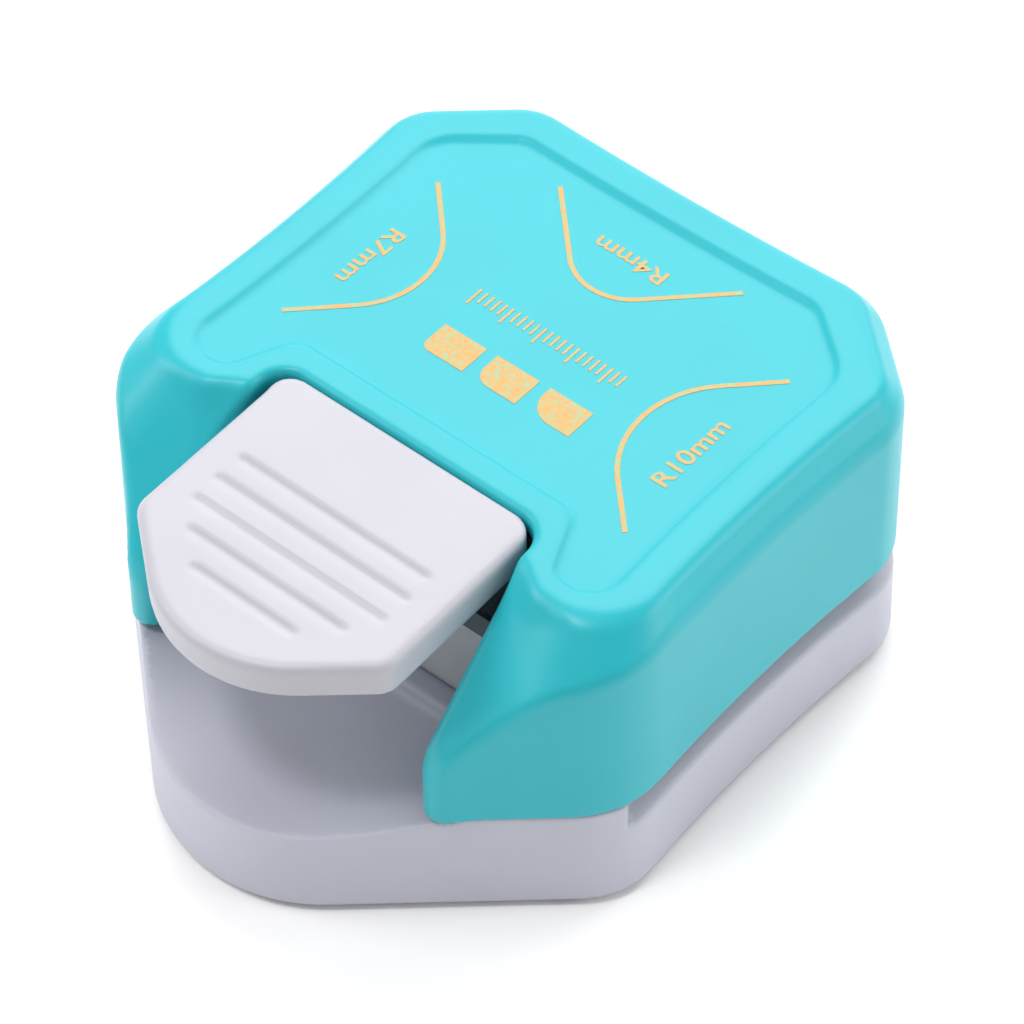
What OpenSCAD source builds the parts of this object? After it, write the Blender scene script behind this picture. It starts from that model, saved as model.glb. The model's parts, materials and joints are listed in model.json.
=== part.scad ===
// Corner rounder: one press lever drives three punches, and each side slot
// rounds the corner of a sheet to its own radius.
// X points right and Y away from a person who faces the lever, Z points up.
// The origin is on the table, under the middle of the body.

/* [Body] */
// Width of the body
body_w = 80.8; // [80:0.2:86]
// Length of the body, from the nose under the lever to the back
body_l = 94; // [93:0.5:98]
// Height of the rim round the top panel
body_h = 44.2; // [44:0.1:46]
// Wall of the moulded shells
wall = 2.2; // [1.8:0.1:2.4]
// Radius of the rounded top edge
top_r = 5.2; // [4:0.1:6]
// How far the top panel is sunk below the rim
panel_sink = 0.6; // [0.3:0.1:0.8]
// How far the long sides are waisted
side_dip = 1.1; // [0.5:0.1:1.5]

/* [Slots] */
// Height of the slot floor
floor_z = 12.75; // [12.5:0.05:13]
// Height of a slot at its mouth
mouth_h = 3.8; // [3.6:0.1:4]
// Thickness of the paper gap over the dies
paper_gap = 1.2; // [1:0.1:1.4]

/* [Corner radii] */
// Radius cut in the right slot
radius_right = 10; // [8:1:10]
// Radius cut in the left slot
radius_left = 7; // [5:1:10]
// Radius cut in the back slot
radius_back = 4; // [3:1:6]

/* [Lever] */
// Width of the lever's paddle
lever_w = 38; // [36:0.5:38.5]
// Thickness of the paddle
lever_t = 4.3; // [4:0.1:4.5]
// Slope of the paddle at rest, in degrees
lever_slope = 2.5; // [1:0.5:3]
// Number of grip grooves
groove_count = 5; // [3:1:5]

/* [Mechanism] */
// Diameter of the lever axle
axle_d = 4; // [3:0.5:4]
// Diameter of the guide pins
guide_d = 4; // [3:0.5:4]
// Radial play of a running fit
play = 0.05; // [0.02:0.01:0.1]
// Turns of a return spring
spring_turns = 5; // [4:1:6]

/* [Feet] */
// Diameter of a rubber foot
foot_d = 8; // [6:0.5:8]
// How far the feet stand out below the base
foot_h = 0.8; // [0.5:0.1:1]

/* [Hidden] */
round_fn = 64;
far = 200;

// Plan outline of the body
half_w = body_w / 2;
back_y = body_l / 2;
chamfer_a = 41.6;
turn_a = 90 - chamfer_a;
nose_r = 21.6;
front_r = 13;
rear_r = 10.5;
back_dip = 0.5;
rear_chamfer_l = 12.3;
nose_cy = -back_y + nose_r;
apex_y = nose_cy - nose_r / cos(chamfer_a);
front_corner_y = apex_y + half_w * tan(chamfer_a);
front_cy = front_corner_y + front_r * tan(turn_a / 2);
rear_tangent = rear_r * tan(turn_a / 2);
rear_cy = back_y - rear_chamfer_l - rear_tangent;
rear_corner_x = half_w - rear_chamfer_l / tan(chamfer_a);
rear_cx = rear_corner_x - rear_tangent;

// Heights
housing_z = floor_z + mouth_h;
base_z = foot_h;
panel_z = body_h - panel_sink;
ceiling_z = panel_z - 2.3;
deck_t = 3.5;
stop_z = floor_z + paper_gap;
frame_z = 18;
die_t = 2;
rim_w = 8.5;
works_hw = 30;
works_front_hw = 20.1;
works_y0 = -16.3;
works_step_y = -4.6;
works_y1 = 38;
bowl_rim_z = 15;

// The notch for the lever, and the slope of the legs beside it
notch_hw = 20.5;
notch_y = -8.6;
notch_r = 3.5;
slope_z = 53.2;
slope_x = 0.3;
slope_y = 1.05;
leg_wall = 3.2;

// The three corner stations: place and direction that the slot opens to
station_x = 11.85;
station_y = 11.6;
station_back_y = 20.5;
STATIONS = [[station_x, station_y, 0, radius_right],
    [-station_x, station_y, 180, radius_left],
    [0, station_back_y, 90, radius_back]];

// Lever and its axle
axle_y = 32;
axle_z = 34;
axle_half = 18.3;
arm_hw = 12.4;
arm_z0 = 38.3;
arm_z1 = 40.6;
rib_t = 2.5;
pin_y = 13;
pin_r = 2;
lever_back_y = -9.2;
lever_back_z = 43.8;
lever_nose_y = -45.3;
lever_corner_y = -34.8;
lever_nose_r = 17.7;
lever_back_r = 3.2;
lever_side_r = 2;
lever_edge = 1.1;
groove_pitch = 3.76;
groove_y = -12.7;
groove_w = 2.7;
groove_depth = 0.7;

// Foil marks on the panel: length of a leg and radius of the arc, right, left, back
MARKS = [[21.3, 13.2], [19.8, 11], [19.8, 7.4]];
mark_w = 0.65;
foil_t = 0.05;

// Punches and carrier
punch_z = 14.4;
punch_shank = 4;
carrier_z0 = 27;
carrier_z1 = 31.1;
wear_t = 1.2;
press_gap = 0.2;
pin_z = carrier_z1 + wear_t + press_gap + pin_r;
GUIDES = [[-20, 24], [20, 24], [0, -1]];
spring_r = 3.1;
wire_r = 0.4;

// Screws and cover
HOUSING_SCREWS = [[28, -10], [22.5, 32]];
FRAME_SCREWS = [[9, -9], [14, 24]];
WEAR_SCREWS = [[-6, 24], [6, 24], [0, 6]];
FEET = [[31, -19], [31, 33]];
screw_r = 1.25;
head_r = 2.6;
hinge_y = 40.5;
hinge_z = 3;
hinge_x = 16;
hinge_pin_r = 1;
barrel_r = 2;
barrel_l = 8;
cover_gap = 0.35;
cover_t = 1.8;
cover_back_y = 37.3;
lug_front = 1.9;
chip_hw = 22;
chip_y0 = -12;
chip_l = 39.8;

// Points of an arc about (cx, cy), from angle a0 to a1 in n steps
function arc(cx, cy, r, a0, a1, n) =
    [for (i = [0:n]) let(a = a0 + (a1 - a0) * i / n) [cx + r * cos(a), cy + r * sin(a)]];

// A closed outline from its right half, which runs from the front to the back
function both_sides(half) = concat(half,
    [for (i = [len(half) - 1:-1:0]) if (half[i].x > 0.001) [-half[i].x, half[i].y]]);

// Right half of the body's outline, drawn in by d
function body_half(d) = concat(
    arc(0, nose_cy, nose_r - d, -90, -turn_a, 6),
    arc(half_w - front_r, front_cy, front_r - d, -turn_a, 0, 6),
    [for (t = [0.2:0.2:0.8])
        [half_w - d - 4 * side_dip * t * (1 - t), front_cy + t * (rear_cy - front_cy)]],
    arc(half_w - rear_r, rear_cy, rear_r - d, 0, turn_a, 4),
    arc(rear_cx, back_y - rear_r, rear_r - d, turn_a, 90, 4),
    [for (t = [0.5, 0]) [rear_cx * t, back_y - d - back_dip * (1 - t * t)]]);
function body_ring(d) = both_sides(body_half(d));

// Right half of the paddle's outline, drawn in by d, with its back edge at y = 0
function lever_half(d) =
    let(hw = lever_w / 2,
        nose_y = lever_nose_y - lever_back_y,
        corner_y = lever_corner_y - lever_back_y,
        a = atan((corner_y - nose_y + lever_nose_r * (1 / cos(40) - 1)) / hw),
        side_t = lever_side_r * tan((90 - a) / 2))
    concat(
        arc(0, nose_y + lever_nose_r, lever_nose_r - d, -90, a - 90, 6),
        arc(hw - lever_side_r, corner_y + side_t, lever_side_r - d, a - 90, 0, 3),
        arc(hw - lever_back_r, -lever_back_r, lever_back_r - d, 0, 90, 5));
function lever_ring(d) = both_sides(lever_half(d));

// A solid through closed rings of points, each at its own height
module loft(rings, heights) {
    n = len(rings[0]);
    m = len(rings);
    points = [for (j = [0:m - 1]) for (p = rings[j]) [p.x, p.y, heights[j]]];
    bottom = [[for (i = [0:n - 1]) i]];
    top = [[for (i = [n - 1:-1:0]) (m - 1) * n + i]];
    sides = [for (j = [0:m - 2]) for (i = [0:n - 1]) let(k = (i + 1) % n)
        each [[j * n + i, (j + 1) * n + i, (j + 1) * n + k],
            [j * n + i, (j + 1) * n + k, j * n + k]]];
    polyhedron(points = points, faces = concat(bottom, top, sides));
}

// A prism of the body's outline, drawn in by d
module body_prism(d, z0, z1) {
    translate([0, 0, z0])
        linear_extrude(z1 - z0)
            polygon(body_ring(d));
}

// The body's outline with a rounded top edge
module body_dome(d, r, z0, z1) {
    steps = [0:15:90];
    loft(concat([body_ring(d)], [for (a = steps) body_ring(d + r * (1 - cos(a)))]),
        concat([z0], [for (a = steps) z1 - r * (1 - sin(a))]));
}

// Both sides of something that is drawn on the right
module mirrored() {
    children();
    mirror([1, 0, 0]) children();
}

// Space above the sloping front facet of the right leg, lowered by drop
module above_slope(drop) {
    tilt_y = -atan(slope_x);
    tilt_x = atan(slope_y * cos(tilt_y));
    intersection() {
        translate([0, 0, slope_z - drop])
            rotate([tilt_x, tilt_y, 0])
                translate([-60, -far / 2, 0])
                    cube([120, far, 60]);
        translate([notch_hw - 0.5, -far, 0])
            cube(far);
    }
}

// Plan of the lever's notch, wider by d on each side
module notch_plan(d) {
    hw = notch_hw + d;
    y1 = notch_y + d;
    r = notch_r + d;
    polygon(concat([[hw, -far], [hw, y1 - r]], arc(hw - r, y1 - r, r, 15, 90, 5),
        arc(r - hw, y1 - r, r, 90, 165, 5), [[-hw, y1 - r], [-hw, -far]]));
}

// Wedge of the slot that takes the sheet's corner, at one station
module slot_wedge(s) {
    translate([s[0], s[1]])
        rotate(s[2])
            polygon([[0, 0], [far, -far], [far, far]]);
}
module slot_wedges() {
    for (s = STATIONS) slot_wedge(s);
}

// Cutting outline of a punch: the waste of one corner, grown by g
module punch_plan(r, g) {
    side = r / sqrt(2) + 0.6 + g;
    difference() {
        translate([-punch_shank - g, -side])
            square([punch_shank + g + r / sqrt(2) + 0.2 + g, 2 * side]);
        translate([r * sqrt(2), 0])
            circle(r - g, $fn = 96);
    }
}
module punch_plans(g) {
    for (s = STATIONS)
        translate([s[0], s[1]])
            rotate(s[2])
                punch_plan(s[3], g);
}

// A round hole or pin along Z at each of some places
module uprights(places, r, z0, z1) {
    for (p = places)
        translate([p.x, p.y, z0])
            cylinder(r = r, h = z1 - z0, $fn = round_fn);
}
// A round bar along X about (y, z)
module crossbar(y, z, r, x0, x1) {
    translate([x0, y, z])
        rotate([0, 90, 0])
            cylinder(r = r, h = x1 - x0, $fn = round_fn);
}

// Area of the working parts, inside the shells, drawn in by d
module works_plan(d) {
    intersection() {
        polygon(body_ring(6 + d));
        polygon(both_sides([[0, works_y0 + d], [works_front_hw - d, works_y0 + d],
            [works_front_hw - d, works_step_y + d], [works_hw - d, works_step_y + d],
            [works_hw - d, works_y1 - d], [0, works_y1 - d]]));
    }
}

module housing_bosses() {
    mirrored() {
        uprights([HOUSING_SCREWS[0]], 3.3, housing_z, ceiling_z + 0.5);
        uprights([HOUSING_SCREWS[1]], 3.3, frame_z, ceiling_z + 0.5);
    }
}

module upper_housing() {
    color([0.36, 0.86, 0.88])
        difference() {
            union() {
                difference() {
                    body_dome(0, top_r, housing_z, body_h);
                    difference() {
                        body_dome(wall, top_r - wall + 0.6, housing_z - 1, ceiling_z);
                        mirrored() {
                            above_slope(leg_wall);
                            translate([notch_hw, -far, 0])
                                cube([wall, far - 5, far]);
                        }
                    }
                    mirrored() above_slope(0);
                }
                housing_bosses();
            }
            translate([0, 0, 5])
                linear_extrude(far)
                    notch_plan(0);
            translate([0, 0, panel_z])
                linear_extrude(far)
                    panel_plan();
            mirrored() uprights(HOUSING_SCREWS, screw_r + 0.03, 0, 32);
        }
}

// The sunk top panel, with a lobe beside the notch on each side
module panel_plan() {
    lobe_y = -12.6;
    surround_x = 24.2;
    surround_y = -4.9;
    difference() {
        intersection() {
            polygon(body_ring(rim_w));
            translate([-far, lobe_y])
                square(2 * far);
        }
        polygon([[surround_x, -far], [surround_x, lobe_y + 2], [surround_x - 5, surround_y],
            [5 - surround_x, surround_y], [-surround_x, lobe_y + 2], [-surround_x, -far]]);
    }
}

// Outline of one mark: a rounded corner whose legs run at 45 degrees
function mark_outline(leg, r) =
    let(h = mark_w / 2, c = cos(45), cx = r * sqrt(2))
    concat(
        [[(leg - h) * c, (leg + h) * c]], arc(cx, 0, r + h, 135, 225, 12),
        [[(leg - h) * c, -(leg + h) * c], [(leg + h) * c, -(leg - h) * c]],
        arc(cx, 0, r - h, 225, 135, 12), [[(leg + h) * c, (leg - h) * c]]);

module corner_marks() {
    color([0.85, 0.68, 0.32])
        for (i = [0:2])
            translate([STATIONS[i][0], STATIONS[i][1], panel_z])
                rotate(STATIONS[i][2])
                    linear_extrude(foil_t)
                        polygon(mark_outline(MARKS[i][0], MARKS[i][1]));
}

module grip_grooves() {
    half_l = [14.2, 14.4, 14.3, 11.7, 7.8];
    for (i = [0:groove_count - 1])
        translate([-half_l[i], groove_y - i * groove_pitch, 0])
            rotate([90, 0, 90])
                linear_extrude(2 * half_l[i])
                    polygon([[0.35, 1], [0, -groove_depth], [-0.5, -groove_depth],
                        [-groove_w, 0], [-groove_w, 1]]);
}

module lever_paddle() {
    edge = lever_edge;
    insets = [0.5, 0, 0, edge * 0.13, edge * 0.5, edge];
    heights = [-lever_t, 0.5 - lever_t, -edge, -edge * 0.5, -edge * 0.13, 0];
    translate([0, lever_back_y, lever_back_z])
        rotate([lever_slope, 0, 0])
            difference() {
                loft([for (d = insets) lever_ring(d)], heights);
                grip_grooves();
            }
}

module press_lever() {
    color([0.9, 0.89, 0.93])
        difference() {
            union() {
                lever_paddle();
                translate([-arm_hw, lever_back_y - 6, arm_z0])
                    cube([2 * arm_hw, axle_y + 2 - lever_back_y + 6, arm_z1 - arm_z0]);
                mirrored() {
                    translate([arm_hw - rib_t, -14, 36])
                        cube([rib_t, axle_y + 14, arm_z1 - 36]);
                    translate([arm_hw - rib_t, pin_y - 3, 33.3])
                        cube([rib_t, axle_y - pin_y + 3, 4]);
                    crossbar(axle_y, axle_z, 4, arm_hw - rib_t - 2, arm_hw);
                }
            }
            crossbar(axle_y, axle_z, axle_d / 2 + play, -far, far);
            crossbar(pin_y, pin_z, pin_r + 0.02, -far, far);
        }
}

module pressure_pin() {
    color("silver")
        crossbar(pin_y, pin_z, pin_r, -arm_hw, arm_hw);
}

module lever_axle() {
    color("silver")
        crossbar(axle_y, axle_z, axle_d / 2, -axle_half, axle_half);
}

module axle_clips() {
    color("dimgray")
        mirrored()
            difference() {
                crossbar(axle_y, axle_z, 3.4, 17.15, 17.75);
                crossbar(axle_y, axle_z, axle_d / 2 + 0.02, 17, 18);
                translate([17, axle_y - 0.9, axle_z])
                    cube([1, 1.8, 5]);
            }
}

// Upper part of the base in plan: everything in front of the two side slots
module front_plan(d) {
    difference() {
        polygon(body_ring(d));
        slot_wedges();
        works_plan(-0.15);
        translate([-far, 8])
            square(2 * far);
    }
}
module rear_pillar_plan() {
    difference() {
        polygon(body_ring(4.5));
        slot_wedges();
        works_plan(-0.15);
        translate([-far, -far])
            square([2 * far, far + 8]);
    }
}

// Scoop for the fingers under the lever
module finger_bowl() {
    scoop_r = 62;
    scoop_y = -32.5;
    intersection() {
        translate([0, 0, floor_z])
            linear_extrude(far)
                difference() {
                    polygon(body_ring(1.7));
                    translate([-far, -19.5])
                        square(2 * far);
                    mirrored()
                        translate([notch_hw - 0.4, -31.5])
                            square(far);
                }
        crossbar(scoop_y, floor_z + 0.6 + scoop_r, scoop_r, -far, far);
    }
    translate([-notch_hw + 0.4, -far, bowl_rim_z])
        cube([2 * notch_hw - 0.8, far - 31.5, far]);
}

module cover_plan(gap) {
    difference() {
        intersection() {
            polygon(body_ring(wall + gap));
            translate([-far, -far])
                square([2 * far, far + cover_back_y]);
        }
        mirrored()
            for (f = FEET)
                translate(f)
                    circle(foot_d / 2 + 1.2 + gap, $fn = round_fn);
    }
}

module hinge_lugs() {
    mirrored()
        for (x = [hinge_x - barrel_l / 2 - 3.3, hinge_x + barrel_l / 2 + 0.3])
            difference() {
                translate([x, hinge_y - lug_front, base_z])
                    cube([3, lug_front + 3.6, floor_z - 3 - base_z]);
                crossbar(hinge_y, hinge_z, hinge_pin_r + 0.01, x - 1, x + 4);
            }
}

module base_tray() {
    color([0.86, 0.86, 0.9])
        difference() {
            union() {
                difference() {
                    union() {
                        body_prism(0, base_z, floor_z);
                        translate([0, 0, floor_z - 0.1])
                            linear_extrude(housing_z - floor_z + 0.1)
                                front_plan(0);
                        translate([0, 0, floor_z - 0.1])
                            linear_extrude(stop_z - floor_z + 0.1)
                                rear_pillar_plan();
                    }
                    body_prism(wall, 0, floor_z - deck_t);
                    finger_bowl();
                }
                mirrored() {
                    uprights(FEET, foot_d / 2 + 1.2, base_z, floor_z - 3);
                    uprights(HOUSING_SCREWS, 3.8, 3.2, floor_z - 3);
                }
                hinge_lugs();
                translate([0, 0, base_z])
                    linear_extrude(cover_t)
                        difference() {
                            polygon(body_ring(1));
                            translate([-far, -far])
                                square([2 * far, far + hinge_y + 2.6]);
                        }
            }
            translate([0, 0, floor_z - die_t])
                linear_extrude(far)
                    die_plan(0.1);
            translate([-19, 2.5, 0])
                cube([38, 23, far]);
            mirrored() {
                uprights(FEET, foot_d / 2 + 0.05, 0, base_z + 1.2);
                uprights(HOUSING_SCREWS, screw_r + 0.25, 0, far);
                uprights(HOUSING_SCREWS, head_r + 0.2, 0, 6);
                uprights([FRAME_SCREWS[0]], screw_r + 0.03, floor_z - 2.6, far);
            }
        }
}

module die_plan(g) {
    translate([-24 - g, -g])
        square([48 + 2 * g, 29.5 + 2 * g]);
}

module die_plate() {
    color("lightgray")
        translate([0, 0, floor_z - die_t])
            linear_extrude(die_t)
                difference() {
                    die_plan(0);
                    punch_plans(0.03);
                    mirrored()
                        translate(FRAME_SCREWS[1])
                            circle(screw_r + 0.03, $fn = round_fn);
                }
}

module stop_plate() {
    color("darkgray")
        translate([0, 0, floor_z])
            linear_extrude(paper_gap)
                difference() {
                    works_plan(0);
                    slot_wedges();
                    punch_plans(0.1);
                    mirrored() {
                        for (p = FRAME_SCREWS)
                            translate(p)
                                circle(screw_r + 0.25, $fn = round_fn);
                        translate(HOUSING_SCREWS[1])
                            circle(screw_r + 0.25, $fn = round_fn);
                    }
                }
}

// Lead-in under the edges of the guide frame, where a sheet enters
module slot_lead_in() {
    run = 5;
    rise = housing_z - stop_z;
    mirrored()
        translate([works_hw - run, -far, stop_z])
            rotate([-90, 0, 0])
                linear_extrude(2 * far)
                    polygon([[-0.1, 0.05], [run + 1, 0.05], [run + 1, -rise * (run + 1) / run]]);
    translate([-far, works_y1 - run, stop_z])
        rotate([90, 0, 90])
            linear_extrude(2 * far)
                polygon([[-0.1, -0.05], [run + 1, -0.05], [run + 1, rise * (run + 1) / run]]);
}

module guide_frame() {
    color([0.88, 0.88, 0.92])
        difference() {
            union() {
                difference() {
                    translate([0, 0, stop_z])
                        linear_extrude(frame_z - stop_z)
                            works_plan(0);
                    slot_lead_in();
                }
                translate([-notch_hw + 0.4, works_y0, stop_z])
                    cube([2 * notch_hw - 0.8, 2.3, 29.2 - stop_z]);
                mirrored() {
                    translate([13, axle_y - 4.2, frame_z - 1])
                        cube([4, 8.4, 38.2 - frame_z + 1]);
                    uprights(GUIDES, guide_d / 2 + 1.2, frame_z - 1, frame_z + 1.2);
                }
            }
            translate([0, 0, stop_z - 1])
                linear_extrude(far)
                    punch_plans(0.1);
            uprights(GUIDES, guide_d / 2 + 0.01, stop_z + 0.5, far);
            crossbar(axle_y, axle_z, axle_d / 2 + 0.01, -far, far);
            mirrored() {
                uprights(FRAME_SCREWS, screw_r + 0.25, 0, far);
                uprights(FRAME_SCREWS, head_r + 0.2, frame_z - 1.6, far);
                uprights([HOUSING_SCREWS[1]], screw_r + 0.25, 0, far);
            }
        }
}

module punch(s) {
    color("silver")
        translate([s[0], s[1], punch_z])
            rotate(s[2])
                linear_extrude(carrier_z1 - punch_z)
                    punch_plan(s[3], 0);
}
module punch_right() {
    punch(STATIONS[0]);
}
module punch_left() {
    punch(STATIONS[1]);
}
module punch_back() {
    punch(STATIONS[2]);
}

module carrier_plan() {
    polygon(both_sides([[0, -6.5], [5.5, -6.5], [21, 2.5], [26, 18], [26, 27], [0, 27]]));
}

module punch_carrier() {
    color([0.25, 0.26, 0.28])
        difference() {
            translate([0, 0, carrier_z0])
                linear_extrude(carrier_z1 - carrier_z0)
                    carrier_plan();
            translate([0, 0, carrier_z0 - 1])
                linear_extrude(far)
                    punch_plans(0.02);
            uprights(GUIDES, guide_d / 2 + play, 0, far);
            uprights(WEAR_SCREWS, screw_r + 0.03, carrier_z0 + 1, far);
        }
}

module wear_plate() {
    color("gainsboro")
        translate([0, 0, carrier_z1])
            linear_extrude(wear_t)
                difference() {
                    polygon(both_sides([[0, 3], [12, 3], [16, 8], [16, 14.5], [10, 26.6], [0, 26.6]]));
                    for (p = WEAR_SCREWS)
                        translate(p)
                            circle(screw_r + 0.1, $fn = round_fn);
                }
}

// A screw with a domed head, pointing down from its head at z = 0
module screw(l) {
    translate([0, 0, -l])
        cylinder(r = screw_r, h = l, $fn = round_fn);
    difference() {
        intersection() {
            cylinder(r = head_r, h = 1.4, $fn = round_fn);
            translate([0, 0, -2.4])
                sphere(r = 3.8, $fn = round_fn);
        }
        for (a = [0, 90])
            rotate(a)
                translate([-1.6, -0.3, 0.6])
                    cube([3.2, 0.6, 2]);
    }
}

module wear_plate_screws() {
    color("silver")
        for (p = WEAR_SCREWS)
            translate([p.x, p.y, carrier_z1 + wear_t])
                screw(4);
}

module guide_pin(p) {
    color("silver") {
        uprights([p], guide_d / 2, stop_z + 0.55, carrier_z1 - 1);
        translate([p.x, p.y, carrier_z1 - 1])
            cylinder(r1 = guide_d / 2, r2 = guide_d / 2 - 0.5, h = 0.8, $fn = round_fn);
    }
}
module guide_pin_left() {
    guide_pin(GUIDES[0]);
}
module guide_pin_right() {
    guide_pin(GUIDES[1]);
}
module guide_pin_front() {
    guide_pin(GUIDES[2]);
}

// A return spring as a helix of round wire with closed end turns
module return_spring(p) {
    z0 = frame_z + 1.2 + wire_r;
    z1 = carrier_z0 - wire_r;
    per_turn = 16;
    steps = (spring_turns + 2) * per_turn;
    sides = 6;
    function rise(u) = u < 1 ? u * 2 * wire_r : (u > spring_turns + 1
        ? z1 - z0 - (spring_turns + 2 - u) * 2 * wire_r
        : 2 * wire_r + (u - 1) * (z1 - z0 - 4 * wire_r) / spring_turns);
    points = [for (i = [0:steps]) for (k = [0:sides - 1])
        let(a = 360 * i / per_turn, b = 360 * k / sides, r = spring_r + wire_r * cos(b))
        [p.x + r * cos(a), p.y + r * sin(a), z0 + rise(i / per_turn) + wire_r * sin(b)]];
    color("silver")
        polyhedron(points = points, faces = concat(
            [[for (k = [0:sides - 1]) k]],
            [[for (k = [sides - 1:-1:0]) steps * sides + k]],
            [for (i = [0:steps - 1]) for (k = [0:sides - 1]) let(m = (k + 1) % sides)
                each [[i * sides + k, (i + 1) * sides + k, (i + 1) * sides + m],
                    [i * sides + k, (i + 1) * sides + m, i * sides + m]]]));
}
module return_spring_left() {
    return_spring(GUIDES[0]);
}
module return_spring_right() {
    return_spring(GUIDES[1]);
}
module return_spring_front() {
    return_spring(GUIDES[2]);
}

module frame_screws() {
    color("silver")
        mirrored() {
            translate([FRAME_SCREWS[0].x, FRAME_SCREWS[0].y, frame_z - 1.6])
                screw(5.8);
            translate([FRAME_SCREWS[1].x, FRAME_SCREWS[1].y, frame_z - 1.6])
                screw(5.4);
        }
}

module housing_screws() {
    color("silver")
        mirrored()
            for (p = HOUSING_SCREWS)
                translate([p.x, p.y, 6])
                    rotate([180, 0, 0])
                        screw(25);
}

module waste_cover() {
    rim_t = 1.2;
    color([0.82, 0.83, 0.87]) {
        difference() {
            translate([0, 0, base_z])
                linear_extrude(cover_t)
                    cover_plan(cover_gap);
            translate([0, -38, base_z - 13.4])
                sphere(r = 14.2, $fn = round_fn);
        }
        translate([0, 0, base_z + cover_t])
            linear_extrude(5)
                difference() {
                    translate([-chip_hw, chip_y0])
                        square([2 * chip_hw, chip_l]);
                    translate([-chip_hw + rim_t, chip_y0 + rim_t])
                        square([2 * chip_hw - 2 * rim_t, chip_l - 2 * rim_t]);
                }
        mirrored()
            difference() {
                union() {
                    translate([hinge_x - barrel_l / 2, cover_back_y - 1, base_z + 0.2])
                        cube([barrel_l, hinge_y - cover_back_y + 1, cover_t - 0.2]);
                    crossbar(hinge_y, hinge_z, barrel_r, hinge_x - barrel_l / 2, hinge_x + barrel_l / 2);
                }
                crossbar(hinge_y, hinge_z, hinge_pin_r + play, 0, far);
            }
    }
}

module cover_hinge_pins() {
    color("silver")
        mirrored()
            crossbar(hinge_y, hinge_z, hinge_pin_r, hinge_x - barrel_l / 2 - 3.2, hinge_x + barrel_l / 2 + 3.2);
}

module rubber_foot(p) {
    color([0.2, 0.2, 0.21])
        translate([p.x, p.y, 0]) {
            cylinder(r1 = foot_d / 2 - 0.4, r2 = foot_d / 2, h = 0.4, $fn = round_fn);
            translate([0, 0, 0.4])
                cylinder(r = foot_d / 2, h = base_z + 0.8, $fn = round_fn);
        }
}
module rubber_foot_front_left() {
    rubber_foot([-FEET[0].x, FEET[0].y]);
}
module rubber_foot_front_right() {
    rubber_foot(FEET[0]);
}
module rubber_foot_back_left() {
    rubber_foot([-FEET[1].x, FEET[1].y]);
}
module rubber_foot_back_right() {
    rubber_foot(FEET[1]);
}

upper_housing();
corner_marks();
press_lever();
pressure_pin();
lever_axle();
axle_clips();
base_tray();
guide_frame();
stop_plate();
die_plate();
punch_right();
punch_left();
punch_back();
punch_carrier();
wear_plate();
wear_plate_screws();
guide_pin_left();
guide_pin_right();
guide_pin_front();
return_spring_left();
return_spring_right();
return_spring_front();
frame_screws();
housing_screws();
waste_cover();
cover_hinge_pins();
rubber_foot_front_left();
rubber_foot_front_right();
rubber_foot_back_left();
rubber_foot_back_right();
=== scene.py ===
import json
import math

import bpy
import numpy as np
from mathutils import Matrix, Vector


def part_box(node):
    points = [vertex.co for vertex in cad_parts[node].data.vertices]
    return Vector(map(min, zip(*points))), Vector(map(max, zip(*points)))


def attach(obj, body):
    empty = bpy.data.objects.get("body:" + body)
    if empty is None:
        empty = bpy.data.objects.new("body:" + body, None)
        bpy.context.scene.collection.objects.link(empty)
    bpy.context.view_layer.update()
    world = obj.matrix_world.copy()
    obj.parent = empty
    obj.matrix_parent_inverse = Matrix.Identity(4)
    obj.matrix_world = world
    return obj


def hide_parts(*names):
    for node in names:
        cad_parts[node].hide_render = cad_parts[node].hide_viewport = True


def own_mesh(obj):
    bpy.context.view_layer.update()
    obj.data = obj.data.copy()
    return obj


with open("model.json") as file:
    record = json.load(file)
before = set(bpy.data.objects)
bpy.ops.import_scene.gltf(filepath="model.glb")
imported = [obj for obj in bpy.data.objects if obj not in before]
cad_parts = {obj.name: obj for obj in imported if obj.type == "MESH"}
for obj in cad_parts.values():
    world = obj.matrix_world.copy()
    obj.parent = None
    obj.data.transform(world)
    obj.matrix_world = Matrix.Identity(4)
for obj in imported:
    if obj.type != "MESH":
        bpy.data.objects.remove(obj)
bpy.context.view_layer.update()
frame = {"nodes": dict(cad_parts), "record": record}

# The shells are built in millimetres around the frame, and MM turns them into metres. Names end in what they
# measure: R a radius, HW a half width, W a width, L a length, T a thickness, and X, Y and Z a place.
MM = 0.001


def box_mm(node):
    """Lowest and highest corner of a CAD node, in millimetres."""
    low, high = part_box(node)
    return np.array(low) / MM, np.array(high) / MM


house_low, house_high = box_mm("upper_housing")
base_low, base_high = box_mm("base_tray")
lever_low, lever_high = box_mm("press_lever")
marks_low, marks_high = box_mm("corner_marks")
plate_low, plate_high = box_mm("stop_plate")
axle_low, axle_high = box_mm("lever_axle")
pin_low, pin_high = box_mm("pressure_pin")
die_low, die_high = box_mm("die_plate")
cover_high = box_mm("waste_cover")[1]

HALF_W = base_high[0]
BACK_Y = base_high[1]
TOP_Z = house_high[2]
SEAM_Z = house_low[2]
BASE_Z = base_low[2]
FLOOR_Z = plate_low[2]
STOP_Z = plate_high[2]
PANEL_Z = marks_low[2]
FRAME_Z = box_mm("guide_frame")[0][2]

# ------------------------------------------------------------------ signed distances

NEARLY = 1e-6


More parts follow.
